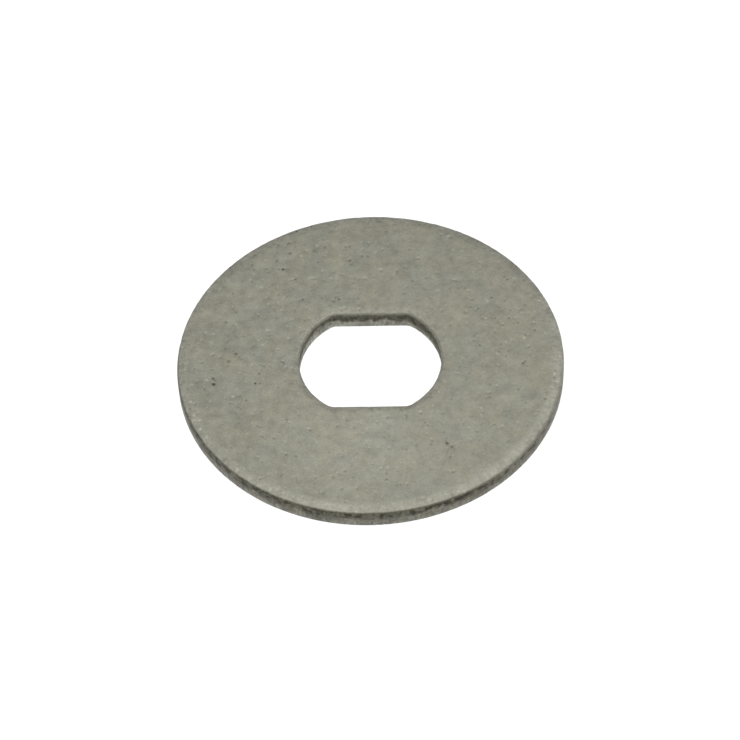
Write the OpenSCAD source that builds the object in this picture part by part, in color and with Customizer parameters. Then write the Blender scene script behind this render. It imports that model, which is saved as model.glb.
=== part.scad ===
// Double-D washer: a flat round disc with a hole of two arcs and two flats.
// Disc and hole are sheared out of sheet metal in one stroke, so both edges have the same
// section: rolled down at the face, burnished below that, and fractured down to the underside.
// It lies on its underside. The origin is the centre of that side, and the flats run along X.

/* [Disc] */
// Outer diameter
outer_d = 33; // [22:0.5:60]
// Thickness of the sheet
thickness = 1.8; // [1.5:0.05:3]

/* [Double-D hole] */
// Width across the two arcs
hole_arc_d = 12.1; // [11:0.1:16]
// Width across the two flats
hole_flats_w = 10.2; // [7:0.1:10.6]
// Radius in each corner, where an arc meets a flat
hole_corner_r = 1.1; // [0.4:0.1:2]

/* [Rim edge] */
// Width of the band that is rolled down at the face
rim_roll_w = 1.1; // [0.8:0.05:1.4]
// Width over which the face bends down into that band
rim_shoulder_w = 0.45; // [0.2:0.05:0.5]
// Slope of the band, in degrees
rim_slope = 12; // [6:1:15]
// Radius where the band turns down into the wall
rim_lip_r = 0.25; // [0.1:0.05:0.3]
// Height of the fractured part of the wall
rim_fracture_h = 0.9; // [0.4:0.05:0.9]
// Lean of the fractured part, in degrees
rim_fracture_lean = 1; // [0.5:0.5:8]
// Radius that tumbling left on the edge of the underside
rim_break_r = 0.05; // [0.03:0.01:0.2]

/* [Hole edge] */
// Width of the band that is rolled down at the face
hole_roll_w = 0.85; // [0.6:0.05:1.2]
// Width over which the face bends down into that band
hole_shoulder_w = 0.4; // [0.2:0.05:0.4]
// Slope of the band, in degrees
hole_slope = 6; // [5:1:15]
// Radius where the band turns down into the wall
hole_lip_r = 0.2; // [0.1:0.01:0.2]
// Height of the fractured part of the wall
hole_fracture_h = 0.85; // [0.4:0.05:0.9]
// Lean of the fractured part, in degrees
hole_fracture_lean = 1; // [0.5:0.5:8]
// Radius that tumbling left on the edge of the underside
hole_break_r = 0.05; // [0.03:0.01:0.2]

/* [Hidden] */

steel = [0.58, 0.57, 0.52];
// How far the tool for the hole runs past both faces, and past its own middle lines
punch_run = 1;
// How far its corners turn on inside its arcs and flats, in degrees
corner_overlap = 20;
// Straight steps in the bend at the face, at the lip and at the edge of the underside
shoulder_steps = 4;
lip_steps = 6;
break_steps = 3;
// Grain of the points in a section, and the coarse step in which a corner is placed
grain = 0.0001;
coarse_grain = 0.01;
$fn = 180;

// Distance and direction to the centre of a corner's radius, with the direction to a
// hundredth of a degree. The arc ends in that direction.
corner_reach = hole_arc_d / 2 - hole_corner_r;
corner_angle = round(100 * asin((hole_flats_w / 2 - hole_corner_r) / corner_reach)) / 100;
corner = corner_reach * [cos(corner_angle), sin(corner_angle), 0];

rim_edge = sheared_edge(rim_roll_w, rim_shoulder_w, rim_slope, rim_lip_r,
                        rim_fracture_h, rim_fracture_lean, rim_break_r);
hole_edge = sheared_edge(hole_roll_w, hole_shoulder_w, hole_slope, hole_lip_r,
                         hole_fracture_h, hole_fracture_lean, hole_break_r);

// Section of a sheared edge from the face to the underside, as points [inset, height].
// The inset is measured into the metal from the upright part of the wall. The face bends
// down to a slope, the lip turns the slope into the wall, the fractured part leans away
// from the wall, and a small radius ends it.
function sheared_edge(roll_w, shoulder_w, slope, lip_r, fracture_h, lean, break_r) =
    let (
        shoulder_r = shoulder_w / sin(slope),
        slope_run = roll_w - shoulder_w - lip_r * (1 - sin(slope)),
        wall_top = thickness - shoulder_r * (1 - cos(slope)) - slope_run * tan(slope)
                   - lip_r * cos(slope),
        break_inset = (fracture_h - break_r * (1 - sin(lean))) * tan(lean) + break_r * cos(lean)
    )
    rounded(concat(
        [for (i = [0:shoulder_steps]) let (a = slope * i / shoulder_steps)
            [roll_w - shoulder_r * sin(a), thickness - shoulder_r * (1 - cos(a))]],
        [for (i = [0:lip_steps]) let (a = slope + (90 - slope) * i / lip_steps)
            [lip_r * (1 - sin(a)), wall_top + lip_r * cos(a)]],
        [[0, fracture_h]],
        [for (i = [0:break_steps]) let (a = lean + (90 - lean) * i / break_steps)
            [break_inset - break_r * cos(a), break_r * (1 - sin(a))]]
    ));

// Points to the grain, so that an arc, a corner and a flat of one section meet flush
function rounded(points) = [for (p = points) [for (v = p) round(v / grain) * grain]];

// Section of the tool for the hole, from its core out to a wall at the given reach
function punch_section(reach, core = 0) =
    let (
        wall = [for (p = hole_edge) [reach + p[0], p[1]]],
        top = thickness + punch_run
    )
    concat(
        [[core, top], [wall[0][0], top]],
        wall,
        [[wall[len(wall) - 1][0], -punch_run], [core, -punch_run]]
    );

// Moves in a coarse step and a fine one, so that a long decimal keeps its last digits
module place(v) {
    coarse = [for (c = v) round(c / coarse_grain) * coarse_grain];
    translate(coarse) translate(v - coarse) children();
}

// The whole disc, before the hole
module blank() {
    rotate_extrude()
        polygon(concat(
            [[0, thickness]],
            [for (p = rim_edge) [outer_d / 2 - p[0], p[1]]],
            [[0, 0]]
        ));
}

// One arc of the hole, with the space inside it
module hole_arc() {
    rotate_extrude(angle = 2 * corner_angle, start = -corner_angle)
        polygon(punch_section(hole_arc_d / 2));
}

// One corner of the hole, and the flat beside it to just past the middle. The corner's
// radius touches the arc and the flat from inside, so it can overlap both.
module hole_corner() {
    place(corner) {
        rotate_extrude(
            angle = 90 - corner_angle + 2 * corner_overlap,
            start = corner_angle - corner_overlap
        )
            polygon(punch_section(hole_corner_r));
        mirror([1, 0, 0])
            rotate([90, 0, 90])
                linear_extrude(height = corner[0] + punch_run)
                    polygon(punch_section(hole_corner_r, -corner[1] - punch_run));
    }
}

// Two arcs, and four corners with half a flat each
module double_d_hole() {
    for (x_side = [0, 1]) mirror([x_side, 0, 0]) {
        hole_arc();
        for (y_side = [0, 1]) mirror([0, y_side, 0]) hole_corner();
    }
}

module washer() {
    color(steel)
        difference() {
            blank();
            double_d_hole();
        }
}

washer();
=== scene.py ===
"""Looks of a double-D washer: tumbled sheet steel, sheared round its rim and its hole.

The washer is drawn and swept in millimetres and brought to the frame's metres at the end.
"""

import logging
import math
import random
from dataclasses import dataclass, field
from enum import Enum, IntEnum
from typing import Any

import bmesh
import bpy
from mathutils import Matrix, Vector, noise
from mathutils.bvhtree import BVHTree
from mathutils.kdtree import KDTree


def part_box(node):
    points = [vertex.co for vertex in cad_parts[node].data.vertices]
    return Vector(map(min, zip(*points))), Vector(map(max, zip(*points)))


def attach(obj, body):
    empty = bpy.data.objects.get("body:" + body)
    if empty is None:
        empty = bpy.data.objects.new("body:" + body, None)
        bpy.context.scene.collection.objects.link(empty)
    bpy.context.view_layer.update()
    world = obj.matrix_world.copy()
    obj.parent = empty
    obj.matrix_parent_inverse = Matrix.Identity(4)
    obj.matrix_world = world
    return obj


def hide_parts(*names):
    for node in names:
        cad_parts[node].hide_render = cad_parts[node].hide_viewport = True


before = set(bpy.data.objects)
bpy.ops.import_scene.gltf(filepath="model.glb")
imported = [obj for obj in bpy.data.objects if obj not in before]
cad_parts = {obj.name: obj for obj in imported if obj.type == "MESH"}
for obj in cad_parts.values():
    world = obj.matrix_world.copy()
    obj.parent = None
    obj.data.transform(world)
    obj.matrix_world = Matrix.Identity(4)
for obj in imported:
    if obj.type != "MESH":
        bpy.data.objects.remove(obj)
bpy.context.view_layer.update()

log = logging.getLogger("washer_looks")

MM = 0.001
STATION = "station"
TORN = "torn"
PIT = "pit"
# Painted glints: how much lighter the steel is painted at each vertex.
SHINE = "shine"
LAYERS = (STATION, TORN, PIT, SHINE)
UP = Vector((0, 0, 1))
QUARTER = math.pi / 2

# Where something starts and ends, or its least and its largest size.
Span = tuple[float, float]


def add_object(name: str, data: Any) -> bpy.types.Object:
    """Makes an object in the scene.

    Args:
        name: its name.
        data: its mesh, lamp or camera.

    Returns:
        The object.
    """
    made = bpy.data.objects.new(name, data)
    bpy.context.scene.collection.objects.link(made)
    return made


def add_mesh(name: str, bm: bmesh.types.BMesh) -> bpy.types.Object:
    """Makes an object in the scene from a bmesh, which is freed.

    Args:
        name: the name of the object and of its mesh.
        bm: the bmesh.

    Returns:
        The object.
    """
    mesh = bpy.data.meshes.new(name)
    bm.to_mesh(mesh)
    bm.free()
    return add_object(name, mesh)


class Station(IntEnum):
    """Stations along a section, from the face over the wall to the underside."""

    FACE = 0
    SHOULDER = 1
    BAND = 2
    LIP = 3
    LAND = 4
    FRACTURE = 5
    BREAK = 6
    UNDERSIDE = 7
    BACK = 8


@dataclass(frozen=True)
class SectionSteps:
    """Straight steps in each stretch of a section."""

    border: int = 7
    shoulder: int = 4
    band: int = 5
    lip: int = 6
    land: int = 5
    fracture: int = 7
    edge_break: int = 3
    back: int = 3


class SectionPen:
    """Draws a section in the XZ plane by carrying one vertex along it."""

    def __init__(
        self, bm: bmesh.types.BMesh, reach: float, side: int,
        start: tuple[float, float], station: float,
    ) -> None:
        """Puts the first vertex in the mesh.

        Args:
            bm: the mesh to draw in.
            reach: distance from the axis to the upright part of the wall.
            side: 1 where the metal lies outside that wall, -1 where it lies inside.
            start: where to start, as (inset into the metal, height).
            station: the station at the start.
        """
        self.bm = bm
        self.reach = reach
        self.side = side
        self.stations = bm.verts.layers.float[STATION]
        self.vert = bm.verts.new(self._place(*start))
        self.vert[self.stations] = station
        self.drawn: list[Any] = [self.vert]

    def _place(self, inset: float, height: float) -> Vector:
        """The point at an inset into the metal and a height."""
        return Vector((self.reach + self.side * inset, 0, height))

    def _carry_on(self, vert: bmesh.types.BMVert, station: float) -> None:
        """Takes a new vertex as the end of the section.

        Args:
            vert: the vertex.
            station: its station.
        """
        vert[self.stations] = station
        self.drawn += [self.bm.edges.get((self.vert, vert)), vert]
        self.vert = vert

    def line(self, end: tuple[float, float], station: float, steps: int) -> None:
        """Draws a straight stretch.

        Args:
            end: where it ends, as (inset, height).
            station: the station at its end.
            steps: how many edges it has.
        """
        here, there = self.vert.co.copy(), self._place(*end)
        left = self.vert[self.stations]
        for step in range(1, steps + 1):
            share = step / steps
            made = bmesh.ops.extrude_vert_indiv(self.bm, verts=[self.vert])
            made["verts"][0].co = here.lerp(there, share)
            self._carry_on(made["verts"][0], left + (station - left) * share)

    def arc(self, centre: tuple[float, float], turn: float, station: float, steps: int) -> None:
        """Draws a round stretch, which turns from the face towards the underside.

        Args:
            centre: its centre, as (inset, height).
            turn: how far it turns, in radians.
            station: the station at its end.
            steps: how many edges it has.
        """
        left = self.vert[self.stations]
        for step in range(1, steps + 1):
            made = bmesh.ops.spin(
                self.bm, geom=[self.vert], cent=self._place(*centre),
                axis=(0, -self.side, 0), angle=turn / steps, steps=1,
            )
            verts = [v for v in made["geom_last"] if isinstance(v, bmesh.types.BMVert)]
            self._carry_on(verts[0], left + (station - left) * step / steps)


@dataclass(frozen=True)
class ShearedEdge:
    """Sizes of one sheared edge: the same section as the solid's, in millimetres and degrees."""

    roll_w: float
    shoulder_w: float
    slope: float
    lip_r: float
    fracture_h: float
    lean: float = 1.0
    break_r: float = 0.05
    border: float = 1.0
    back: float = 0.8

    def draw(
        self, bm: bmesh.types.BMesh, reach: float, side: int, thickness: float,
        steps: SectionSteps,
    ) -> list[Any]:
        """Draws the section from the flat face to the plain underside.

        Args:
            bm: the mesh to draw in.
            reach: distance from the axis to the upright part of the wall.
            side: 1 where the metal lies outside that wall, -1 where it lies inside.
            thickness: thickness of the sheet.
            steps: straight steps in each stretch.

        Returns:
            The section's vertices and edges.
        """
        slope, lean = math.radians(self.slope), math.radians(self.lean)
        shoulder_r = self.shoulder_w / math.sin(slope)
        slope_run = self.roll_w - self.shoulder_w - self.lip_r * (1 - math.sin(slope))
        band_top = thickness - shoulder_r * (1 - math.cos(slope))
        wall_top = band_top - slope_run * math.tan(slope) - self.lip_r * math.cos(slope)
        lip_start = (self.lip_r * (1 - math.sin(slope)), wall_top + self.lip_r * math.cos(slope))
        break_top = self.break_r * (1 - math.sin(lean))
        foot = (self.fracture_h - break_top) * math.tan(lean)
        under = foot + self.break_r * math.cos(lean)

        pen = SectionPen(bm, reach, side, (self.roll_w + self.border, thickness), Station.FACE)
        pen.line((self.roll_w, thickness), Station.SHOULDER, steps.border)
        pen.arc((self.roll_w, thickness - shoulder_r), slope, Station.BAND, steps.shoulder)
        pen.line(lip_start, Station.LIP, steps.band)
        pen.arc((self.lip_r, wall_top), QUARTER - slope, Station.LAND, steps.lip)
        pen.line((0, self.fracture_h), Station.FRACTURE, steps.land)
        pen.line((foot, break_top), Station.BREAK, steps.fracture)
        pen.arc((under, self.break_r), QUARTER - lean, Station.UNDERSIDE, steps.edge_break)
        pen.line((under + self.back, 0), Station.BACK, steps.back)
        return pen.drawn


@dataclass(frozen=True)
class DoubleDHole:
    """Outline of the hole: two arcs, two flats along X, and a radius in each corner."""

    arc_d: float = 12.1
    flats_w: float = 10.2
    corner_r: float = 1.1

    @property
    def corner(self) -> Vector:
        """Where one corner's radius has its centre.

        Returns:
            The centre, from which the radius touches the arc and the flat from inside.
        """
        reach = self.arc_d / 2 - self.corner_r
        rise = self.flats_w / 2 - self.corner_r
        return Vector((math.sqrt(reach**2 - rise**2), rise, 0))

    def sweep_quarter(self, bm: bmesh.types.BMesh, section: list[Any], columns: int) -> None:
        """Sweeps a section round a quarter of the outline: an arc, a corner and half a flat.

        Args:
            bm: the mesh.
            section: the section's vertices and edges, in the XZ plane.
            columns: faces round the quarter, shared out by the angle seen from the axis.
        """
        corner = self.corner
        arc_end = math.atan2(corner.y, corner.x)
        flat_start = math.atan2(self.flats_w / 2, corner.x)
        arc_steps = round(columns * arc_end / QUARTER)
        flat_steps = round(columns * (1 - flat_start / QUARTER))
        arc = bmesh.ops.spin(
            bm, geom=section, cent=(0, 0, 0), axis=UP, angle=arc_end, steps=arc_steps,
        )
        bend = bmesh.ops.spin(
            bm, geom=arc["geom_last"], cent=corner, axis=UP,
            angle=QUARTER - arc_end, steps=columns - arc_steps - flat_steps,
        )
        bmesh.ops.spin(
            bm, geom=bend["geom_last"], cent=(0, 0, 0), axis=UP,
            dvec=(-corner.x / flat_steps, 0, 0), angle=0, steps=flat_steps,
        )


class FaceMark(Enum):
    """Dark marks on the face and the rim, each at its pixel in the 740 pixel picture, with its
    width in pixels and its depth in millimetres."""

    LEFT_PAIR_LOWER = (213.5, 384, 4.5, 0.06)
    LEFT_PAIR_UPPER = (213, 378.5, 4.5, 0.035)
    LEFT_PAIR_WEST = (210.3, 382, 3.6, 0.024)
    LEFT_PAIR_EAST = (215.5, 380.5, 3.0, 0.022)
    LEFT_PAIR_HIGH = (211.8, 376, 3.2, 0.02)
    LEFT_UPPER = (236, 353.6, 4.5, 0.032)
    LEFT_UPPER_TAIL = (239.5, 356.8, 3.6, 0.026)
    LEFT_UPPER_END = (242.5, 359, 3.0, 0.02)
    LEFT_UPPER_WEST = (228.5, 361, 4.5, 0.031)
    LEFT_UPPER_WEST_LOW = (228.8, 365, 3.4, 0.022)
    LEFT_CENTRE = (255, 383, 3.5, 0.038)
    LEFT_CENTRE_EAST = (260, 383, 3.0, 0.03)
    FAR_LEFT_LOW = (295.6, 279, 4.8, 0.031)
    FAR_LEFT_HIGH = (290, 253, 4.5, 0.032)
    FAR_LEFT_WEST = (283, 269, 4.5, 0.036)
    FAR_SPECK = (318, 262, 3.0, 0.03)
    FAR_SPECK_LOW = (302.6, 299.3, 4.4, 0.034)
    FAR_SPECK_LOW_WEST = (299.6, 300.8, 3.4, 0.026)
    FAR_SPECK_EAST = (339, 299, 4.0, 0.036)
    FAR_TOP = (350, 260, 3.5, 0.036)
    FAR_TOP_HIGH = (325, 247, 4.2, 0.026)
    FAR_MIDDLE = (333.2, 272.4, 3.2, 0.024)
    FAR_PAIR = (362, 256, 3.6, 0.03)
    FAR_PAIR_EAST = (367.3, 256, 3.4, 0.028)
    NEAR_HOLE_LOW = (337, 426, 3.0, 0.03)
    NEAR_HOLE_WEST = (318, 435, 3.0, 0.02)
    NEAR_HOLE_EAST = (425, 422, 3.5, 0.03)
    NEAR_RIGHT_STREAK = (447, 443, 5.0, 0.035)
    NEAR_RIGHT_STREAK_LOW = (452, 446, 4.0, 0.03)
    NEAR_RIGHT_PATCH = (450, 457, 4.0, 0.026)
    RIGHT_SPECK = (490, 397, 3.0, 0.03)
    RIGHT_SPECK_HIGH = (480, 394, 3.0, 0.02)
    RIGHT_FAR = (523, 363, 3.5, 0.036)
    RIGHT_FAR_HIGH = (480, 345, 3.0, 0.03)
    FAR_RIM_NOTCH = (296.7, 231.4, 3.0, 0.045)
    FAR_RIM_NOTCH_EAST = (311.6, 226.6, 3.0, 0.04)
    FAR_RIM_NOTCH_WEST = (290.5, 233.9, 2.6, 0.035)
    FAR_RIM_NOTCH_FAR_WEST = (278, 238.9, 2.6, 0.03)
    LEFT_RIM_DENT = (213, 291, 4.5, 0.018)
    LEFT_RIM_DENT_LOW = (204, 334, 4.0, 0.025)
    LEFT_FAR_SPECK = (226, 322, 4.5, 0.03)
    LEFT_FAR_SPECK_HIGH = (233, 309, 4.0, 0.02)
    LEFT_FAR_SMALL = (240, 280, 3.0, 0.02)
    FAR_LEFT_PAIR = (252, 265, 4.0, 0.027)
    FAR_LEFT_PAIR_LOW = (254, 270, 4.0, 0.025)
    FAR_LEFT_SMALL = (267, 262, 2.5, 0.02)
    FAR_LEFT_MIDDLE = (233, 294, 3.5, 0.02)
    FAR_LEFT_INNER = (282, 311, 3.0, 0.026)
    FAR_STREAK = (345.6, 247, 4.5, 0.03)
    FAR_STREAK_EAST = (349.8, 246.2, 3.6, 0.022)
    LEFT_INNER = (259, 373, 3.5, 0.03)
    LEFT_LOW = (246, 400, 3.5, 0.025)
    LEFT_LOW_WEST = (206, 400, 4.0, 0.02)
    LEFT_LOW_EAST = (241, 409, 3.0, 0.028)
    NEAR_LEFT_PATCH = (333, 477, 4.0, 0.02)
    NEAR_LEFT_PATCH_EAST = (345, 471, 4.0, 0.03)
    NEAR_MIDDLE = (353, 477, 3.5, 0.026)
    NEAR_LEFT_EDGE = (296, 456, 3.5, 0.026)
    NEAR_LEFT_RIM = (314, 488, 4.0, 0.02)
    NEAR_STREAK = (386.5, 473, 3.5, 0.025)
    NEAR_STREAK_LOW = (386.5, 479, 3.5, 0.034)
    NEAR_RIGHT_SMALL = (445, 460, 3.0, 0.02)
    RIGHT_TOP_SPECK = (507.5, 279, 4.0, 0.027)
    RIGHT_TOP_SPECK_EAST = (514, 288, 3.5, 0.02)
    RIGHT_TOP_WEST = (491.5, 297, 4.0, 0.031)
    RIGHT_TOP_LOW = (478, 308, 4.0, 0.025)
    RIGHT_UPPER_PAIR = (510.5, 309.7, 3.2, 0.027)
    RIGHT_UPPER_PAIR_EAST = (521, 309.3, 3.5, 0.022)
    RIGHT_UPPER_SCRATCH = (482.5, 318.4, 3.5, 0.024)
    RIGHT_UPPER_SPECK = (509, 318, 3.5, 0.027)
    RIGHT_UPPER_SPECK_EAST = (518, 322.2, 3.5, 0.028)
    RIGHT_MIDDLE_HIGH = (495, 331.8, 3.5, 0.025)
    RIGHT_RIM_SPECK = (534.8, 329.9, 4.0, 0.027)
    RIGHT_MIDDLE_WEST = (474, 340.4, 3.2, 0.028)
    RIGHT_MIDDLE = (501, 343.8, 3.2, 0.03)
    RIGHT_MIDDLE_LOW = (499, 351.4, 3.4, 0.025)
    RIGHT_FAR_EAST = (525.3, 361, 3.0, 0.033)
    RIGHT_LIP_NOTCH = (554.4, 377.2, 3.6, 0.03)
    RIGHT_LIP_NOTCH_HIGH = (555.7, 370.6, 3.4, 0.026)
    RIGHT_LIP_NOTCH_EAST = (561, 372.8, 3.2, 0.026)
    RIGHT_LIP_NOTCH_LOW = (561.1, 387, 3.2, 0.028)
    RIGHT_BAND_SPECK = (551.7, 388.7, 3.6, 0.024)
    RIGHT_LOW_STREAK = (525.8, 402.5, 3.6, 0.02)
    RIGHT_LOW_STREAK_END = (525, 408.8, 4.0, 0.022)
    RIGHT_LOW_PATCH = (538.5, 405.4, 3.6, 0.02)
    RIGHT_LOW = (490.3, 384, 3.5, 0.024)
    RIGHT_LOW_EAST = (518.5, 388.8, 3.6, 0.027)
    RIGHT_LOW_RIM = (545, 398.4, 4.0, 0.03)
    LEFT_LIP_NOTCH = (182.4, 364.1, 3.0, 0.036)
    LEFT_LIP_NOTCH_MIDDLE = (181.2, 384.6, 3.0, 0.03)
    LEFT_LIP_NOTCH_LOW = (183.2, 400.7, 3.2, 0.028)
    LEFT_BAND_SPECK = (187.2, 388.6, 3.2, 0.034)
    LEFT_BAND_SPECK_LOW = (189.6, 408.4, 3.6, 0.036)


class PaintedGlintMark(Enum):
    """Small places painted lighter as glints, each at its pixel in the 740 pixel picture, with its
    width in pixels and how light its painted glint is, from 0 to 1."""

    LEFT_BAND_HIGH = (186.3, 363.2, 3.5, 0.7)
    LEFT_BAND = (184.8, 369.5, 4.5, 0.9)
    LEFT_BAND_LOW = (191.2, 384.6, 5.0, 0.8)
    LEFT_BAND_LOWER = (190.3, 402.0, 5.0, 0.9)
    NEAR_LEFT_BAND = (194.4, 415.3, 5.0, 0.9)
    NEAR_LEFT_BAND_EAST = (199.6, 420.5, 5.0, 0.8)
    NEAR_LEFT_BAND_LOW = (200.3, 429.0, 4.5, 0.8)
    NEAR_LEFT_BAND_END = (206.5, 436.5, 5.0, 0.8)
    LEFT_HIGH = (205.9, 332.4, 3.5, 0.8)
    LEFT_HIGH_EAST = (236.3, 324.4, 4.0, 0.7)
    LEFT_INNER = (258.6, 340.0, 3.5, 0.8)
    LEFT_HOLE = (274.2, 360.5, 3.5, 0.6)
    LEFT_MIDDLE = (239.4, 372.6, 4.0, 0.8)
    LEFT_BELOW_MIDDLE = (236.7, 389.6, 4.0, 0.7)
    LEFT_LOW = (232.7, 396.3, 4.0, 1.0)
    LEFT_LOW_WEST = (210.0, 401.2, 5.0, 0.7)
    FAR_LEFT_TOP = (301.6, 256.0, 3.5, 0.9)
    FAR_LEFT_MIDDLE = (253.6, 273.8, 4.0, 0.9)
    FAR_LEFT_LOW = (261.4, 287.1, 5.0, 0.8)
    FAR_LEFT_INNER = (278.4, 302.0, 4.0, 0.7)
    FAR_LEFT_OUTER = (232.8, 306.6, 4.0, 0.6)
    RIGHT_SCRATCH = (486.0, 317.9, 3.5, 1.0)
    RIGHT_HIGH = (487.4, 300.7, 4.5, 0.6)
    RIGHT_MIDDLE = (524.3, 337.5, 4.0, 0.9)
    RIGHT_INNER = (497.5, 353.3, 4.0, 0.8)
    RIGHT_LIP = (559.7, 356.4, 3.0, 0.9)
    RIGHT_BAND = (554.6, 373.6, 4.0, 1.0)
    RIGHT_BAND_EAST = (557.6, 375.6, 3.4, 0.8)
    RIGHT_BAND_LOW = (557.4, 381.0, 4.4, 0.7)
    RIGHT_BAND_END = (553.4, 399.3, 3.2, 0.8)
    RIGHT_LOW = (481.2, 407.9, 4.0, 0.8)


@dataclass(frozen=True)
class StudioCamera:
    """The camera at the picture's viewing angle, with a long lens.

    Angles are in degrees and distances in millimetres. The camera stands off_centre to its right
    and up from the line through the frame's origin.
    """

    elevation: float = 50.33
    azimuth: float = 2.76
    roll: float = -2.91
    distance: float = 317.3
    focal_px: float = 3709.0
    picture_px: int = 740
    off_centre: tuple[float, float] = (-0.072, 0.181)
    sensor_w: float = 36.0
    clip_factor: float = 10.0

    def axes(self) -> tuple[Vector, Vector, Vector]:
        """Which way the camera looks.

        Returns:
            Its directions to the right, up and back.
        """
        e, a, r = (math.radians(x) for x in (self.elevation, self.azimuth, self.roll))
        back = Vector((math.sin(a) * math.cos(e), -math.cos(a) * math.cos(e), math.sin(e)))
        level = Vector((math.cos(a), math.sin(a), 0))
        upright = back.cross(level)
        right = math.cos(r) * level + math.sin(r) * upright
        up = -math.sin(r) * level + math.cos(r) * upright
        return right, up, back

    def eye(self) -> Vector:
        """Where the camera stands, in millimetres."""
        right, up, back = self.axes()
        return self.distance * back + self.off_centre[0] * right + self.off_centre[1] * up

    def ray(self, pixel: tuple[float, float]) -> Vector:
        """The direction in which the camera sees a pixel.

        Args:
            pixel: the pixel's column and row.

        Returns:
            The direction, of length 1.
        """
        right, up, back = self.axes()
        across, down = ((value - self.picture_px / 2) / self.focal_px for value in pixel)
        return (right * across - up * down - back).normalized()

    def build(self) -> None:
        """Makes the camera and makes it the scene's."""
        data = bpy.data.cameras.new("studio_camera")
        data.sensor_width = self.sensor_w
        data.lens = self.focal_px * self.sensor_w / self.picture_px
        data.clip_start = self.distance * MM / self.clip_factor
        data.clip_end = self.distance * MM * self.clip_factor
        camera = add_object("studio_camera", data)
        turn = Matrix([list(axis) for axis in self.axes()]).transposed().to_4x4()
        camera.matrix_world = Matrix.Translation(self.eye() * MM) @ turn
        bpy.context.scene.camera = camera
        log.info("camera %.1f mm away, lens %.1f mm", self.distance, data.lens)


def ease(low: float, high: float, value: float) -> float:
    """A smooth step from 0 at low to 1 at high."""
    share = min(1.0, max(0.0, (value - low) / (high - low)))
    return share * share * (3 - 2 * share)


@dataclass(frozen=True)
class Dent:
    """One pit, nick or painted glint, in millimetres, with how much it darkens the steel and how
    light its painted glint is.
    """

    centre: Vector
    radius: float
    depth: float
    pit_darkening: float
    shine: float = 0.0


@dataclass(frozen=True)
class Waves:
    """Fractal noise on the surface: its size in millimetres, and how its finer steps fade."""

    size: float
    fade: float
    octaves: int
    step: float = 2.0

    def at(self, point: Vector) -> float:
        """The noise at a point, around 0."""
        return noise.fractal(point / self.size, self.fade, self.step, self.octaves)

    def share(self, point: Vector) -> float:
        """The noise at a point, around 0.5."""
        return 0.5 + 0.5 * self.at(point)


@dataclass(frozen=True)
class Wear:
    """How far shearing and tumbling took the surface below the solid's, in millimetres.

    The ragged top of the fracture wanders, rises and drops by shares of a station, over spans
    along X in millimetres. The spans of the lip and of the torn part's end are stations. A higher
    pit_rarity makes deep pits rarer.
    """

    swell: float = 0.016
    swell_least: float = 0.05
    swell_waves: Waves = Waves(1.9, 0.9, 2)
    lip: float = 0.02
    lip_share: float = 0.25
    lip_waves: Waves = Waves(0.6, 0.8, 3)
    lip_start: Span = (1.6, 3.2)
    lip_end: Span = (3.8, 4.8)
    wander: float = 0.4
    wander_waves: Waves = Waves(0.7, 0.8, 4)
    ragged: float = 0.15
    hole_reach: float = 9.0
    hole_wander: float = 0.1
    west_rise: float = 0.5
    west_rise_span: Span = (2.5, 4.5)
    west_fall: float = 0.45
    west_fall_span: Span = (5.1, 5.7)
    east_drop: float = 0.35
    east_drop_span: Span = (1.0, 4.0)
    east_end: float = 0.3
    east_end_span: Span = (5.0, 5.8)
    rim_drop: float = 0.55
    rim_drop_span: Span = (6.0, 12.0)
    torn: float = 0.02
    torn_waves: Waves = Waves(0.28, 0.7, 3, 2.1)
    torn_end: Span = (6.6, 7.0)
    mark_fade: float = 1.5
    dark_depth: float = 0.05
    # The painted glint marks are also sunk this deep.
    glint_depth: float = 0.002
    seed: int = 33
    pits: int = 420
    pit_r: Span = (0.1, 0.26)
    pit_depth: Span = (0.002, 0.016)
    pit_rarity: int = 3
    nicks: int = 260
    nick_r: Span = (0.12, 0.34)
    nick_depth: Span = (0.006, 0.035)
    nick_inset: float = 0.05
    nick_drop: Span = (0.05, 0.35)
    nick_darkening: float = 0.4

    def torn_share(self, point: Vector, station: float) -> float:
        """How far a point lies in the fractured part, past its ragged top.

        Args:
            point: the point, in millimetres.
            station: its station along the section.

        Returns:
            A share from 0 to 1.
        """
        top = Station.FRACTURE + self.wander * self.wander_waves.at(point)
        if point.xy.length < self.hole_reach:
            top += self.hole_wander - self.west_rise * ease(*self.west_rise_span, -point.x)
            top += self.west_fall * ease(*self.west_fall_span, -point.x)
            east = self.east_drop * ease(*self.east_drop_span, point.x)
            top += east + self.east_end * ease(*self.east_end_span, point.x)
        else:
            top += self.rim_drop * ease(*self.rim_drop_span, point.x)
        below_top = ease(top - self.ragged, top + self.ragged, station)
        return below_top * (1 - ease(*self.torn_end, station))

    def depth(self, point: Vector, station: float, torn: float) -> float:
        """How far a point sinks into the metal.

        Args:
            point: the point, in millimetres.
            station: its station along the section.
            torn: how far it lies in the fractured part.

        Returns:
            The depth, in millimetres.
        """
        swell = self.swell * max(self.swell_least, self.swell_waves.share(point))
        lip_part = ease(*self.lip_start, station) * (1 - ease(*self.lip_end, station))
        lip = self.lip * lip_part * max(0.0, self.lip_share + self.lip_waves.at(point))
        rough = min(1.0, max(0.0, self.torn_waves.share(point)))
        return swell + lip + torn * self.torn * rough


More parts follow.
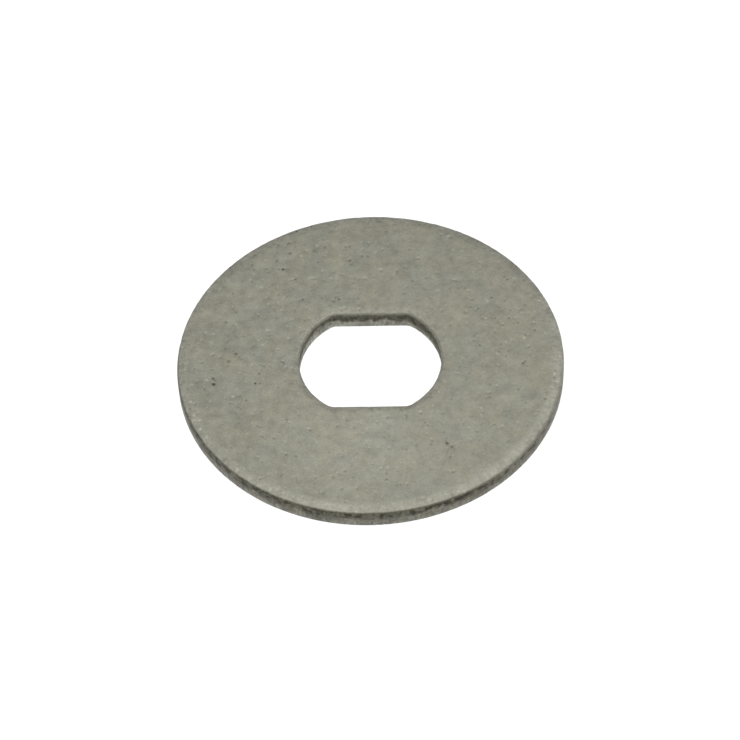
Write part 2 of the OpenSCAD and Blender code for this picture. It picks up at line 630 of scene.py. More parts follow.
@dataclass
class Washer:
    """The one piece: a disc with a double-D hole, sheared out of sheet steel in one stroke."""

    outer_d: float
    thickness: float
    hole: DoubleDHole = field(default_factory=DoubleDHole)
    rim_edge: ShearedEdge = ShearedEdge(
        roll_w=1.1, shoulder_w=0.45, slope=12, lip_r=0.25, fracture_h=0.9,
    )
    hole_edge: ShearedEdge = ShearedEdge(
        roll_w=0.85, shoulder_w=0.4, slope=6, lip_r=0.2, fracture_h=0.85,
    )
    rim_steps: SectionSteps = SectionSteps()
    hole_steps: SectionSteps = SectionSteps(
        border=6, shoulder=4, band=4, lip=4, land=5, fracture=6,
    )
    quarter_columns: int = 160
    face_rings: int = 68
    back_rings: int = 11
    weld: float = 0.001
    wear: Wear = Wear()

    def build(self, camera: StudioCamera) -> bpy.types.Object:
        """Builds the washer's mesh.

        Args:
            camera: the camera that places the marks on the face.

        Returns:
            The finished piece, in the frame's metres.
        """
        bm = self._edge_shells()
        self._close_face(bm, Station.FACE, self.face_rings)
        self._close_face(bm, Station.BACK, self.back_rings)
        bmesh.ops.recalc_face_normals(bm, faces=bm.faces)
        bm.normal_update()
        self._wear_down(bm, camera)
        bmesh.ops.scale(bm, vec=(MM, MM, MM), verts=bm.verts)
        for face in bm.faces:
            face.smooth = True
        piece = add_mesh("washer_steel_sheet", bm)
        log.info("washer: %d faces", len(piece.data.polygons))
        return piece

    def _edge_shells(self) -> bmesh.types.BMesh:
        """Sweeps the walls of the rim and of the hole, and the bands beside them.

        Returns:
            A new mesh with both shells.
        """
        bm = bmesh.new()
        for name in LAYERS:
            bm.verts.layers.float.new(name)
        rim = self.rim_edge.draw(bm, self.outer_d / 2, -1, self.thickness, self.rim_steps)
        bmesh.ops.spin(
            bm, geom=rim, cent=(0, 0, 0), axis=UP, angle=QUARTER, steps=self.quarter_columns,
        )
        hole = self.hole_edge.draw(bm, self.hole.arc_d / 2, 1, self.thickness, self.hole_steps)
        self.hole.sweep_quarter(bm, hole, self.quarter_columns)
        for axis in "YX":
            bmesh.ops.mirror(
                bm, geom=bm.verts[:] + bm.edges[:] + bm.faces[:], axis=axis, merge_dist=self.weld,
            )
        return bm

    def _close_face(self, bm: bmesh.types.BMesh, station: Station, rings: int) -> None:
        """Bridges the hole's shell to the rim's at one side of the sheet.

        Args:
            bm: the mesh.
            station: the station at which both shells end there.
            rings: rings of faces between them.
        """
        stations = bm.verts.layers.float[STATION]
        borders = [
            edge for edge in bm.edges
            if edge.is_boundary and all(round(v[stations]) == station for v in edge.verts)
        ]
        made = bmesh.ops.bridge_loops(bm, edges=borders)
        bmesh.ops.subdivide_edges(bm, edges=made["edges"], cuts=rings - 1, use_grid_fill=True)

    def _wear_down(self, bm: bmesh.types.BMesh, camera: StudioCamera) -> None:
        """Sinks the surface by its wear, its pits and its nicks, always into the metal.

        Args:
            bm: the mesh.
            camera: the camera that places the marks.
        """
        stations, torn, pit, shine = (bm.verts.layers.float[name] for name in LAYERS)
        wear = self.wear
        tree = KDTree(len(bm.verts))
        verts = list(bm.verts)
        depths = []
        for index, vert in enumerate(verts):
            tree.insert(vert.co, index)
            vert[torn] = wear.torn_share(vert.co, vert[stations])
            depths.append(wear.depth(vert.co, vert[stations], vert[torn]))
        tree.balance()
        for dent in self._seen_marks(bm, camera) + self._scattered_marks():
            for _, index, distance in tree.find_range(dent.centre, dent.radius):
                share = (1 - (distance / dent.radius) ** 2) ** 2
                depths[index] += dent.depth * share
                verts[index][pit] = max(verts[index][pit], dent.pit_darkening * share)
                verts[index][shine] = max(verts[index][shine], dent.shine * share)
        sunk = [vert.co - vert.normal * depth for vert, depth in zip(verts, depths)]
        for vert, place in zip(verts, sunk):
            vert.co = place

    def _seen_marks(self, bm: bmesh.types.BMesh, camera: StudioCamera) -> list[Dent]:
        """Places the marks of the picture where the camera's rays meet the surface.

        Args:
            bm: the mesh, before it is worn.
            camera: the camera.

        Returns:
            The marks.
        """
        wear = self.wear
        surface = BVHTree.FromBMesh(bm)
        eye = camera.eye()
        radius = camera.distance / camera.focal_px / 2 * wear.mark_fade
        dents = []
        for mark in (*FaceMark, *PaintedGlintMark):
            x, y, width, strength = mark.value
            centre = surface.ray_cast(eye, camera.ray((x, y)))[0]
            if centre is None:
                log.warning("%s misses the washer", mark.name)
            elif isinstance(mark, FaceMark):
                pit_darkening = min(1.0, strength / wear.dark_depth)
                dents.append(Dent(centre, width * radius, strength, pit_darkening))
            else:
                dents.append(Dent(centre, width * radius, wear.glint_depth, 0.0, strength))
        return dents

    def _scattered_marks(self) -> list[Dent]:
        """Scatters the small pits of the face and the nicks of the rim by chance.

        Returns:
            The pits and nicks.
        """
        wear = self.wear
        pick = random.Random(wear.seed)
        dents = []
        inner = self.hole.arc_d / 2 + self.hole_edge.roll_w
        outer = self.outer_d / 2 - self.rim_edge.roll_w
        for _ in range(wear.pits):
            angle = pick.uniform(0, 2 * math.pi)
            reach = math.sqrt(pick.uniform(inner**2, outer**2))
            centre = Vector((reach * math.cos(angle), reach * math.sin(angle), self.thickness))
            low, high = wear.pit_depth
            radius = pick.uniform(*wear.pit_r)
            depth = low + (high - low) * pick.random() ** wear.pit_rarity
            dents.append(Dent(centre, radius, depth, min(1.0, depth / wear.dark_depth)))
        for _ in range(wear.nicks):
            angle = pick.uniform(0, 2 * math.pi)
            reach = self.outer_d / 2 - pick.uniform(wear.nick_inset, self.rim_edge.roll_w)
            height = self.thickness - pick.uniform(*wear.nick_drop)
            centre = Vector((reach * math.cos(angle), reach * math.sin(angle), height))
            radius, depth = pick.uniform(*wear.nick_r), pick.uniform(*wear.nick_depth)
            pit_darkening = wear.nick_darkening * min(1.0, depth / wear.dark_depth)
            dents.append(Dent(centre, radius, depth, pit_darkening))
        return dents


class Value:
    """A number on a node's output, with the operators that the finishes use."""

    noise_middle = 0.5

    def __init__(self, nodes: "Nodes", socket: bpy.types.NodeSocket) -> None:
        """Keeps the socket and the tree that it is in."""
        self.nodes = nodes
        self.socket = socket

    def _math(self, operation: str, first: Any, second: Any) -> "Value":
        """One Math node on two numbers or links."""
        return self.nodes.math(operation, first, second)

    def __add__(self, other: Any) -> "Value":
        """This plus a number or link."""
        return self._math("ADD", self, other)

    __radd__ = __add__

    def __sub__(self, other: Any) -> "Value":
        """This minus a number or link."""
        return self._math("SUBTRACT", self, other)

    def __rsub__(self, other: Any) -> "Value":
        """A number or link minus this."""
        return self._math("SUBTRACT", other, self)

    def __mul__(self, other: Any) -> "Value":
        """This times a number or link."""
        return self._math("MULTIPLY", self, other)

    __rmul__ = __mul__

    def larger(self, other: Any) -> "Value":
        """The larger of this and a number or link."""
        return self._math("MAXIMUM", self, other)

    def smaller(self, other: Any) -> "Value":
        """The smaller of this and a number or link."""
        return self._math("MINIMUM", self, other)

    def centred(self) -> "Value":
        """This noise around 0."""
        return self - self.noise_middle

    def ease(self, low: Any, high: Any) -> "Value":
        """A smooth step of this.

        Args:
            low: a number or link, at which the step is 0.
            high: a number or link, at which it is 1.

        Returns:
            The step.
        """
        node = self.nodes.add(
            "ShaderNodeMapRange", {"interpolation_type": "SMOOTHSTEP"},
            {"Value": self, "From Min": low, "From Max": high},
        )
        return Value(self.nodes, node.outputs["Result"])


class Nodes:
    """A node tree, filled by one method that adds any node."""

    # Numbers of the Mix node's sockets for colours.
    mix_share = 0
    mix_colours = (6, 7)
    mix_result = 2

    def __init__(self, tree: bpy.types.NodeTree) -> None:
        """Keeps the tree and empties it."""
        self.tree = tree
        tree.nodes.clear()

    def add(
        self, kind: str, settings: dict[str, Any] | None = None,
        values: dict[Any, Any] | None = None,
    ) -> bpy.types.Node:
        """Adds a node.

        Args:
            kind: the node's type.
            settings: its properties, which are set first.
            values: numbers, colours or links for its sockets, by name or number.

        Returns:
            The node.
        """
        node = self.tree.nodes.new(kind)
        for name, setting in (settings or {}).items():
            setattr(node, name, setting)
        for name, value in (values or {}).items():
            source = value.socket if isinstance(value, Value) else value
            if isinstance(source, bpy.types.NodeSocket):
                self.tree.links.new(source, node.inputs[name])
            else:
                node.inputs[name].default_value = source
        return node

    def math(self, operation: str, first: Any, second: Any) -> Value:
        """One Math node.

        Args:
            operation: what it does.
            first: a number or link.
            second: a number or link.

        Returns:
            Its result.
        """
        node = self.add("ShaderNodeMath", {"operation": operation}, {0: first, 1: second})
        return Value(self, node.outputs[0])

    def mix(self, share: Any, first: Any, second: Any) -> bpy.types.NodeSocket:
        """Mixes two colours.

        Args:
            share: how much of the second.
            first: a colour or link.
            second: a colour or link.

        Returns:
            The mixed colour.
        """
        below, above = self.mix_colours
        node = self.add(
            "ShaderNodeMix", {"data_type": "RGBA"},
            {self.mix_share: share, below: first, above: second},
        )
        return node.outputs[self.mix_result]

    def times(self, vector: Any, factor: Any) -> bpy.types.NodeSocket:
        """A colour or a place times a number or link."""
        node = self.add(
            "ShaderNodeVectorMath", {"operation": "SCALE"}, {"Vector": vector, "Scale": factor},
        )
        return node.outputs["Vector"]

    def moved(self, place: Any, by: tuple[float, ...]) -> bpy.types.NodeSocket:
        """A place moved, so that a pattern shows elsewhere."""
        node = self.add("ShaderNodeVectorMath", {"operation": "ADD"}, {0: place, 1: by})
        return node.outputs["Vector"]

    def attribute(self, name: str) -> Value:
        """A number kept on the mesh's vertices."""
        node = self.add("ShaderNodeAttribute", {"attribute_name": name})
        return Value(self, node.outputs["Fac"])

    def output(self, kind: str, surface: bpy.types.NodeSocket) -> None:
        """Links a shader to the tree's output."""
        self.add(kind, {}, {"Surface": surface})


def colour(red: float, green: float, blue: float) -> tuple[float, float, float, float]:
    """A linear colour with full alpha."""
    return (red, green, blue, 1.0)


@dataclass(frozen=True)
class Pattern:
    """A noise pattern: its size in millimetres, how fine it gets, and its borders as a mask."""

    size: float
    detail: int
    borders: Span | None = None

    def draw(self, nodes: Nodes, place: Any) -> Value:
        """Adds the pattern to a material.

        Args:
            nodes: the material's tree.
            place: the place on the piece, in millimetres.

        Returns:
            Noise around 0.5, or a mask from 0 to 1 if the pattern has borders.
        """
        node = nodes.add(
            "ShaderNodeTexNoise", {},
            {"Vector": place, "Scale": 1 / self.size, "Detail": self.detail},
        )
        level = Value(nodes, node.outputs["Fac"])
        return level.ease(*self.borders) if self.borders else level


@dataclass(frozen=True)
class BrokenEdge:
    """How far noise breaks up the border of a mark, and where the mark starts and ends."""

    frost: float
    grain: float
    borders: Span

    def break_up(self, mark: Value, frost: Value, grain: Value) -> Value:
        """The mark's mask with its border broken up by two noises."""
        level = mark + frost.centred() * self.frost + grain.centred() * self.grain
        return level.ease(*self.borders)


@dataclass(frozen=True)
class Speckle:
    """The fine patterns of the finish: noise around 0.5, and masks from 0 to 1."""

    clouds: Value
    grain: Value
    frost: Value
    dark_flecks: Value
    light_flecks: Value
    torn: Value
    pit_darkening: Value
    shine: Value


@dataclass(frozen=True)
class Zones:
    """Masks from 0 to 1 that say where each part of a finish lies."""

    rim: Value
    band: Value
    # Where the rim's band nears its lip; on the far side it takes painted shade.
    edge: Value
    wall: Value
    # Where the painted shadow line under the lip lies.
    line: Value
    bare: Value
    # Where the painted highlight at the foot of the rim's wall lies.
    foot: Value
    west: Value
    east: Value
    # The far side, where the rim's band takes painted shade.
    north: Value


@dataclass(frozen=True)
class Borders:
    """Where the zones start and end: in stations, and from the value rim on in millimetres."""

    band_clouds: float = 2.4
    band_shift: float = 0.7
    band_start_w: float = 1.0
    band_end: Span = (3.2, 3.9)
    edge_start: Span = (2.2, 2.9)
    wall_start: Span = (3.0, 3.6)
    wall_end: Span = (6.6, 7.2)
    # Where the painted shadow line under the lip starts and ends.
    lip_shadow_start: Span = (3.5, 4.0)
    lip_shadow_end: Span = (4.4, 5.6)
    bare_torn: float = 0.75
    bare_start: Span = (4.6, 6.8)
    # Where the painted highlight at the foot of the rim's wall starts and ends.
    foot_highlight_start: Span = (5.3, 6.5)
    foot_highlight_end: Span = (6.8, 7.2)
    ragged: float = 0.7
    hole_lower: float = 0.68
    east_lower: float = 0.42
    rim: Span = (9.0, 12.0)
    east_rim: Span = (5.0, 14.0)
    west: Span = (-10.0, 4.0)
    east: Span = (0.0, 8.0)
    north: Span = (4.0, 13.0)


@dataclass(frozen=True)
class Brightness:
    """How much each pattern or zone lightens or darkens the steel, as a share of its tone.

    The busy values say how strong the clouds, the grain and the flecks are, and the frost values
    how strong the frost is, in one zone or another.
    """

    clouds: float = 0.6
    grain: float = 0.4
    mottle: float = 0.3
    light_flecks: float = 0.3
    dark_flecks: float = 0.26
    busy: float = 0.85
    busy_west: float = 0.22
    # The next value makes the speckle busier in the painted highlight on the face.
    busy_painted_highlight: float = 0.16
    frost_band: float = 0.5
    frost_east_band: float = 0.2
    frost_east: float = 0.22
    # How much the painted highlight near the front of the face lightens it.
    painted_highlight: float = 0.1
    # How much the left side, towards -X, is painted lighter, as painted light.
    west: float = 0.01
    # How much the painted glints lighten the steel.
    shine: float = 0.38
    # How much the band is painted darker on the far side, as painted shade.
    far_band_shade: float = 0.065
    rays: float = 0.42
    streaks: float = 1.2
    blotch: float = 0.8
    stretches: float = 1.1
    # How much painted light lifts the land of the rim's wall towards +X.
    east_land_painted_light: float = 0.22


@dataclass(frozen=True)
class Roughness:
    """The plain steel's roughness, and how much each pattern or zone adds to it."""

    plain: float = 0.43
    clouds: float = 0.2
    torn: float = 0.2
    band: float = -0.03
    pit_darkening: float = 0.2
    skin: float = 0.3


@dataclass(frozen=True)
class Relief:
    """How high each pattern stands, and the strength and depth in millimetres of it all."""

    grain: float = 0.4
    clouds: float = 0.4
    light_flecks: float = 0.3
    dark_flecks: float = -0.5
    strength: float = 0.35
    depth: float = 0.03


@dataclass(frozen=True)
class TumbledSteel:
    """Bare steel sheet with the dull grey skin of tumbling, with some light and shade painted into
    its tones. Sizes are in millimetres.
    """

    olive: tuple[float, ...] = colour(0.278, 0.270, 0.2135)
    blue_grey: tuple[float, ...] = colour(0.2655, 0.265, 0.2205)
    burnished: tuple[float, ...] = colour(0.300, 0.294, 0.245)
    # Painted shade for the far part of the rim's band, which tilts away from the light.
    shaded_edge: tuple[float, ...] = colour(0.255, 0.252, 0.221)
    hole_band: tuple[float, ...] = colour(0.255, 0.249, 0.206)
    # Painted reflection: the land of the walls is painted dark for the dark surroundings it would
    # reflect. The fracture is painted lighter, partly for its rough grain and partly for the lit
    # table it would reflect, and the hole's fracture most of all.
    land: tuple[float, ...] = colour(0.120, 0.115, 0.087)
    hole_land_painted_dark: tuple[float, ...] = colour(0.112, 0.107, 0.081)
    fractured: tuple[float, ...] = colour(0.222, 0.218, 0.186)
    # Painted highlight: the foot of the rim's wall is painted lighter, for the white table it would
    # reflect.
    foot_painted_highlight: tuple[float, ...] = colour(0.297, 0.294, 0.264)
    hole_fracture_painted_light: tuple[float, ...] = colour(0.337, 0.333, 0.289)
    # Near black, for the darkened pits and for the painted shadow line under the lip.
    pit_and_lip_shadow_dark: tuple[float, ...] = colour(0.030, 0.027, 0.018)
    rust: tuple[float, ...] = colour(0.185, 0.150, 0.108)
    patches: Pattern = Pattern(2.6, 4, (0.36, 0.64))
    stain: Pattern = Pattern(2.6, 2, (0.5, 0.7))
    mottle: Pattern = Pattern(1.9, 1)
    clouds: Pattern = Pattern(0.8, 3)
    grain: Pattern = Pattern(0.16, 2)
    frost: Pattern = Pattern(0.35, 2)
    flecks: Pattern = Pattern(0.42, 2)
    blotch: Pattern = Pattern(0.35, 3)
    # Patches of the painted shadow line under the lip.
    lip_shadow_patches: Pattern = Pattern(0.6, 3, (0.42, 0.61))
    stretches: Pattern = Pattern(1.3, 2)
    streaks: Pattern = Pattern(0.22, 2)
    streak_flatness: float = 0.35
    rays: Pattern = Pattern(0.026, 2)
    elsewhere: tuple[float, float, float] = (31.0, 17.0, 23.0)
    # Painted highlight: part of the light flecks is painted beside the dark flecks, on their lit
    # side.
    lit_side: tuple[float, float, float] = (0.06, -0.24, 0.0)
    lit_share: float = 0.45
    light_fleck_borders: Span = (0.57, 0.7)
    dark_fleck_borders: Span = (0.6, 0.76)
    pit_darkening_edge: BrokenEdge = BrokenEdge(frost=0.4, grain=0.8, borders=(0.12, 0.9))
    shine_edge: BrokenEdge = BrokenEdge(frost=0.6, grain=0.4, borders=(0.15, 0.9))
    pit_darkening_cover: float = 0.85
    rust_cover: float = 0.5
    far_edge_shade_cover: float = 0.8
    # How dark the painted shadow line under the lip is, and how much darker on the rim's wall.
    lip_shadow_cover: float = 0.75
    rim_lip_shadow_cover: float = 0.12
    # A painted highlight: the face is painted lighter round this place, out to this radius.
    painted_highlight_place: tuple[float, float, float] = (-1.0, -8.5, 1.8)
    painted_highlight_r: float = 9.5
    land_skin: float = 0.85
    rim_sheen: float = 0.65
    skin_gloss: float = 0.08
    borders: Borders = Borders()
    brightness: Brightness = Brightness()
    roughness: Roughness = Roughness()
    relief: Relief = Relief()

    def dress(self, piece: bpy.types.Object) -> None:
        """Gives the finish to a piece.

        Args:
            piece: the piece, whose other materials go.
        """
        material = bpy.data.materials.new("tumbled_steel")
        material.use_nodes = True
        nodes = Nodes(material.node_tree)
        place = nodes.times(nodes.add("ShaderNodeTexCoord").outputs["Object"], 1 / MM)
        speckle = self._speckle(nodes, place)
        zones = self._zones(nodes, place, speckle)
        tone = self._tone(nodes, place, zones)
        # Pits and nicks are darkened towards near black, more the deeper they are.
        tone = nodes.mix(speckle.pit_darkening * self.pit_darkening_cover, tone, self.pit_and_lip_shadow_dark)
        tone = nodes.times(tone, self._shade(nodes, place, speckle, zones))
        skin = zones.wall * (1.0 - zones.bare) * (1.0 - zones.rim * self.rim_sheen) * self.land_skin
        steel = nodes.add(
            "ShaderNodeBsdfPrincipled", {},
            {
                "Base Color": tone, "Metallic": 1.0 - skin,
                "Roughness": self._roughness(speckle, zones, skin),
                "Specular IOR Level": self.skin_gloss, "Normal": self._normal(nodes, speckle),
            },
        )
        nodes.output("ShaderNodeOutputMaterial", steel.outputs["BSDF"])
        piece.data.materials.clear()
        piece.data.materials.append(material)
        log.info("%s dressed in tumbled steel", piece.name)

    def _speckle(self, nodes: Nodes, place: Any) -> Speckle:
        """The fine patterns, each drawn once and shared by what follows.

        Args:
            nodes: the material's tree.
            place: the place on the piece, in millimetres.

        Returns:
            The patterns.
        """
        clouds, grain, frost = (
            pattern.draw(nodes, place) for pattern in (self.clouds, self.grain, self.frost)
        )
        # Painted relief shading: the dark flecks darken the steel as painted shade of small dents,
        # and part of the light flecks lighten it beside them as painted highlights. The rest of the
        # light flecks lie at random, and both kinds also get a bump.
        painted_lit_flecks = self.flecks.draw(nodes, nodes.moved(place, self.lit_side))
        alone = self.flecks.draw(nodes, nodes.moved(place, self.elsewhere))
        light = painted_lit_flecks * self.lit_share + alone * (1 - self.lit_share)
        return Speckle(
            clouds=clouds, grain=grain, frost=frost,
            dark_flecks=self.flecks.draw(nodes, place).ease(*self.dark_fleck_borders),
            light_flecks=light.ease(*self.light_fleck_borders),
            torn=nodes.attribute(TORN),
            pit_darkening=self.pit_darkening_edge.break_up(nodes.attribute(PIT), frost, grain),
            # The painted glints, with broken borders.
            shine=self.shine_edge.break_up(nodes.attribute(SHINE), frost, grain),
        )

    def _zones(self, nodes: Nodes, place: Any, speckle: Speckle) -> Zones:
        """Where the bands, the walls and their parts lie.

        Args:
            nodes: the material's tree.
            place: the place on the piece, in millimetres.
            speckle: the patterns that make borders wander and ragged.

        Returns:
            The masks.
        """
        borders = self.borders
        station = nodes.attribute(STATION)
        reach = nodes.add("ShaderNodeVectorMath", {"operation": "LENGTH"}, {0: place})
        parts = nodes.add("ShaderNodeSeparateXYZ", {}, {0: place}).outputs
        x, y = Value(nodes, parts["X"]), Value(nodes, parts["Y"])
        rim = Value(nodes, reach.outputs["Value"]).ease(*borders.rim)
        band_start = speckle.clouds * borders.band_clouds + speckle.frost - borders.band_shift
        in_band = station.ease(band_start, band_start + borders.band_start_w)
        low = station - (1 - rim) * borders.hole_lower + speckle.frost.centred() * borders.ragged
        low = low - rim * x.ease(*borders.east_rim) * borders.east_lower
        past_land = station.ease(*borders.bare_start)
        in_foot_highlight = rim * station.ease(*borders.foot_highlight_start)
        return Zones(
            rim=rim,
            band=in_band * (1 - station.ease(*borders.band_end)),
            edge=rim * station.ease(*borders.edge_start),
            wall=low.ease(*borders.wall_start) * (1 - station.ease(*borders.wall_end)),
            line=low.ease(*borders.lip_shadow_start) * (1 - station.ease(*borders.lip_shadow_end)),
            bare=speckle.torn * borders.bare_torn + past_land * (1 - borders.bare_torn),
            foot=in_foot_highlight * (1 - station.ease(*borders.foot_highlight_end)),
            west=1 - x.ease(*borders.west),
            east=x.ease(*borders.east),
            north=y.ease(*borders.north),
        )

    def _tone(self, nodes: Nodes, place: Any, zones: Zones) -> bpy.types.NodeSocket:
        """The steel's colour before pits and specks.

        Args:
            nodes: the material's tree.
            place: the place on the piece, in millimetres.
            zones: where each part of the finish lies.

        Returns:
            The colour.
        """
        elsewhere = nodes.moved(place, self.elsewhere)
        patches = self.patches.draw(nodes, place)
        stain = self.stain.draw(nodes, elsewhere)
        lip_shadow_patches = self.lip_shadow_patches.draw(nodes, elsewhere)

        face = nodes.mix(patches, self.olive, self.blue_grey)
        # Painted shade: the rim's band is painted darker on its far side, near the lip.
        shaded = zones.north * zones.edge * self.far_edge_shade_cover
        rim_band = nodes.mix(shaded, self.burnished, self.shaded_edge)
        rolled = nodes.mix(zones.rim, self.hole_band, rim_band)
        tone = nodes.mix(zones.band, face, rolled)
        # The walls: dark painted land above, lighter painted fracture below.
        bare = nodes.mix(zones.rim, self.hole_fracture_painted_light, self.fractured)
        bare = nodes.mix(stain * self.rust_cover, bare, self.rust)
        # Painted highlight at the foot of the rim's wall.
        bare = nodes.mix(zones.foot, bare, self.foot_painted_highlight)
        land = nodes.mix(zones.rim, self.hole_land_painted_dark, self.land)
        tone = nodes.mix(zones.wall, tone, nodes.mix(zones.bare, land, bare))
        lip_shadow_cover = self.lip_shadow_cover + zones.rim * self.rim_lip_shadow_cover
        # Painted shadow: a dark line in patches along the top of the walls, under the lip.
        tone = nodes.mix(zones.line * lip_shadow_patches * lip_shadow_cover, tone, self.pit_and_lip_shadow_dark)
        return nodes.times(tone, 1.0 + zones.wall * self._streaks(nodes, place, zones))

    def _shade(self, nodes: Nodes, place: Any, speckle: Speckle, zones: Zones) -> Value:
        """How light or dark the patterns make the steel.

        Args:
            nodes: the material's tree.
            place: the place on the piece, in millimetres.
            speckle: the fine patterns.
            zones: where each part of the finish lies.

        Returns:
            The factor for its tone, around 1.
        """
        share = self.brightness
        mottle = self.mottle.draw(nodes, place).centred()
        # The painted highlight near the front of the face: lighter, with busier speckle.
        painted_highlight = self._painted_highlight(nodes, place)
        busy = share.busy + zones.west * share.busy_west + painted_highlight * share.busy_painted_highlight
        soft = speckle.clouds.centred() * share.clouds + speckle.grain.centred() * share.grain
        shade = 1.0 + busy * soft + mottle * share.mottle
        dark = speckle.dark_flecks * share.dark_flecks
        shade = shade + busy * (speckle.light_flecks * share.light_flecks - dark)
        blotchy = zones.band * (share.frost_band - zones.east * share.frost_east_band)
        blotchy = blotchy + (1 - zones.west) * share.frost_east
        shade = shade + speckle.frost.centred() * blotchy + painted_highlight * share.painted_highlight
        # Painted light: the left side a little, and the painted glints more.
        shade = shade + zones.west * share.west + speckle.shine * share.shine
        # Painted shade on the band's far side.
        shade = shade - zones.band * zones.north * share.far_band_shade
        rolled = zones.rim * zones.band * (1 - zones.north)
        return shade + self._rays(nodes, place).centred() * rolled * share.rays

    def _roughness(self, speckle: Speckle, zones: Zones, skin: Value) -> Value:
        """How rough the steel is.

        Args:
            speckle: the fine patterns.
            zones: where each part of the finish lies.
            skin: how far a dull skin covers the metal.

        Returns:
            The roughness.
        """
        share = self.roughness
        level = share.plain + speckle.clouds.centred() * share.clouds + speckle.torn * share.torn
        return level + zones.band * share.band + speckle.pit_darkening * share.pit_darkening + skin * share.skin

    def _normal(self, nodes: Nodes, speckle: Speckle) -> bpy.types.NodeSocket:
        """Puts the relief of the fine patterns on the surface.

        Args:
            nodes: the material's tree.
            speckle: the fine patterns.

        Returns:
            The normal.
        """
        relief = self.relief
        height = speckle.grain * relief.grain + speckle.clouds * relief.clouds
        height = height + speckle.light_flecks * relief.light_flecks
        height = height + speckle.dark_flecks * relief.dark_flecks + speckle.torn * speckle.grain
        bump = nodes.add(
            "ShaderNodeBump", {},
            {"Height": height, "Strength": relief.strength, "Distance": relief.depth * MM},
        )
        return bump.outputs["Normal"]

    def _painted_highlight(self, nodes: Nodes, place: Any) -> Value:
        """Where the face is painted lighter, as a painted highlight for the soft reflection of the
        lamps.

        Args:
            nodes: the material's tree.
            place: the place on the piece, in millimetres.

        Returns:
            1 in the middle of the painted highlight, fading to 0 round it.
        """
        away = nodes.add(
            "ShaderNodeVectorMath", {"operation": "DISTANCE"}, {0: place, 1: self.painted_highlight_place},
        )
        return 1 - Value(nodes, away.outputs["Value"]).ease(0.0, self.painted_highlight_r)

    def _rays(self, nodes: Nodes, place: Any) -> Value:
        """Rays out from the axis, as rolling leaves them on the rim's band.

        Args:
            nodes: the material's tree.
            place: the place on the piece, in millimetres.

        Returns:
            Noise around 0.5.
        """
        level = nodes.add(
            "ShaderNodeVectorMath", {"operation": "MULTIPLY"}, {0: place, 1: (1.0, 1.0, 0.0)},
        )
        outward = nodes.add(
            "ShaderNodeVectorMath", {"operation": "NORMALIZE"}, {0: level.outputs["Vector"]},
        )
        return self.rays.draw(nodes, outward.outputs["Vector"])

    def _streaks(self, nodes: Nodes, place: Any, zones: Zones) -> Value:
        """How much lighter or darker shearing leaves the walls, in streaks along the axis, with
        painted light on the land of the rim's wall towards +X.

        Args:
            nodes: the material's tree.
            place: the place on the piece, in millimetres.
            zones: where each part of the finish lies.

        Returns:
            The change, around 0.
        """
        share = self.brightness
        drawn = nodes.add(
            "ShaderNodeMapping", {"vector_type": "POINT"},
            {"Vector": place, "Scale": (1, 1, self.streak_flatness)},
        )
        fine = self.streaks.draw(nodes, drawn.outputs["Vector"]).centred()
        blotch = self.blotch.draw(nodes, place).centred()
        stretches = self.stretches.draw(nodes, nodes.moved(place, self.elsewhere)).centred()
        change = fine * share.streaks + blotch * share.blotch
        change = change + zones.rim * stretches * share.stretches
        # Painted light on the land of the rim's wall towards +X.
        return change + zones.rim * zones.east * (1.0 - zones.bare) * share.east_land_painted_light


@dataclass(frozen=True)
class Lamp:
    """A soft square lamp, aimed at the washer. Sizes and places are in millimetres."""

    name: str
    place: tuple[float, float, float]
    size: float
    glow: float

    def build(self) -> None:
        """Makes the lamp."""
        data = bpy.data.lights.new(self.name, "AREA")
        data.size = self.size * MM
        data.energy = self.glow * math.pi * (self.size * MM) ** 2
        lamp = add_object(self.name, data)
        lamp.location = Vector(self.place) * MM
        lamp.rotation_euler = Vector(self.place).to_track_quat("Z", "Y").to_euler()


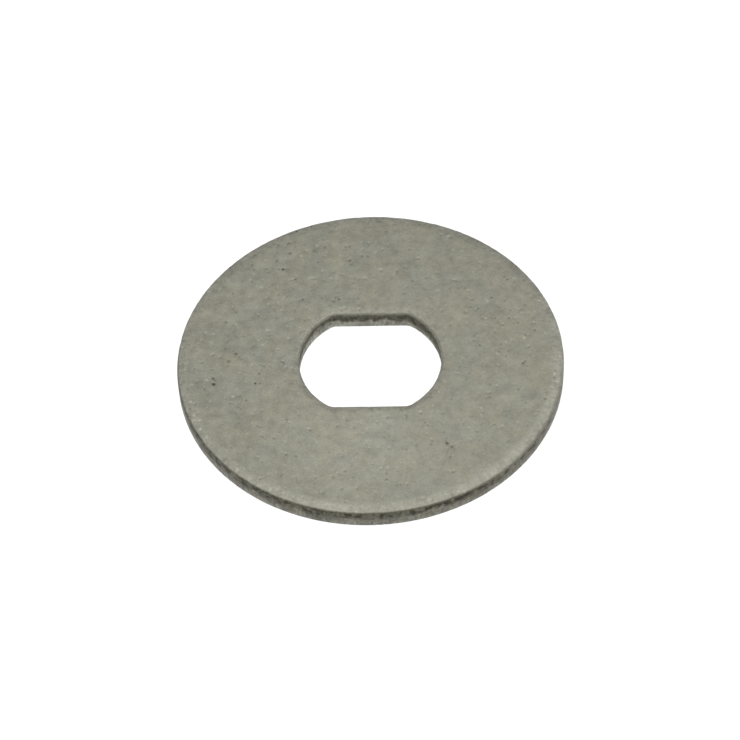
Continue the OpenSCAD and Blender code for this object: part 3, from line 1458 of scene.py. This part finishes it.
@dataclass(frozen=True)
class Studio:
    """A white table in a tent of soft light, with two small lamps over the washer."""

    white: tuple[float, ...] = colour(1.0, 1.0, 1.0)
    table_colour: tuple[float, ...] = colour(0.9, 0.9, 0.9)
    table_r: float = 900.0
    table_corners: int = 96
    gap: float = 0.01
    shadow_share: float = 0.15
    table_glow: float = 1.15
    horizon: float = 0.72
    overhead: float = 0.76
    front: float = 0.30
    behind: float = 0.5
    lamps: tuple[Lamp, ...] = (
        Lamp("sheen_lamp", (-1.0, 22.6, 47.8), 30.0, 0.36),
        Lamp("side_lamp", (40.0, 30.0, 60.0), 40.0, 0.41),
    )

    def build(self) -> None:
        """Makes the table, the lamps and the surroundings."""
        self._table()
        self._surroundings()
        for lamp in self.lamps:
            lamp.build()
        scene = bpy.context.scene
        scene.view_settings.view_transform = "Standard"
        log.info("studio with %d lamps", len(self.lamps))

    def _table(self) -> None:
        """The white table, which keeps a faint shadow and shows white to the camera."""
        bm = bmesh.new()
        bmesh.ops.create_circle(
            bm, cap_ends=True, segments=self.table_corners, radius=self.table_r * MM,
        )
        bmesh.ops.translate(bm, vec=(0, 0, -self.gap * MM), verts=bm.verts)
        table = add_mesh("table", bm)

        material = bpy.data.materials.new("white_table")
        material.use_nodes = True
        nodes = Nodes(material.node_tree)
        rays = nodes.add("ShaderNodeLightPath").outputs
        seen = Value(nodes, rays["Is Camera Ray"]) + Value(nodes, rays["Is Glossy Ray"])
        seen = (seen + Value(nodes, rays["Is Transmission Ray"])).smaller(1.0)
        lit = nodes.add("ShaderNodeBsdfDiffuse", {}, {"Color": self.table_colour})
        white = nodes.add(
            "ShaderNodeEmission", {}, {"Color": self.white, "Strength": self.table_glow},
        )
        top = nodes.add(
            "ShaderNodeMixShader", {},
            {0: seen * (1 - self.shadow_share), 1: lit.outputs[0], 2: white.outputs[0]},
        )
        below = nodes.add("ShaderNodeNewGeometry").outputs["Backfacing"]
        clear = nodes.add("ShaderNodeBsdfTransparent")
        both = nodes.add(
            "ShaderNodeMixShader", {}, {0: below, 1: top.outputs[0], 2: clear.outputs[0]},
        )
        nodes.output("ShaderNodeOutputMaterial", both.outputs[0])
        table.data.materials.append(material)

    def _surroundings(self) -> None:
        """Soft light all round, brighter overhead, in front, and low down behind the washer."""
        world = bpy.data.worlds.new("studio_surroundings")
        world.use_nodes = True
        bpy.context.scene.world = world
        nodes = Nodes(world.node_tree)
        direction = nodes.add("ShaderNodeTexCoord").outputs["Generated"]
        parts = nodes.add("ShaderNodeSeparateXYZ", {}, {0: direction}).outputs
        depth, rise = Value(nodes, parts["Y"]), Value(nodes, parts["Z"]).larger(0.0)
        low = 1.0 - rise
        level = self.horizon + self.overhead * rise * rise * rise - self.front * depth * rise
        level = level + self.behind * depth.larger(0.0) * low * low * low
        light = nodes.add("ShaderNodeBackground", {}, {"Color": self.white, "Strength": level})
        nodes.output("ShaderNodeOutputWorld", light.outputs[0])


def main() -> None:
    """Builds the camera, the washer and the studio."""
    logging.basicConfig(level=logging.INFO, format="%(name)s: %(message)s")
    low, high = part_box("washer")
    camera = StudioCamera()
    camera.build()
    washer = Washer(outer_d=(high.x - low.x) / MM, thickness=(high.z - low.z) / MM)
    piece = washer.build(camera)
    TumbledSteel().dress(piece)
    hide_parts("washer")
    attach(piece, "root")
    Studio().build()


if __name__ == "__main__":
    main()
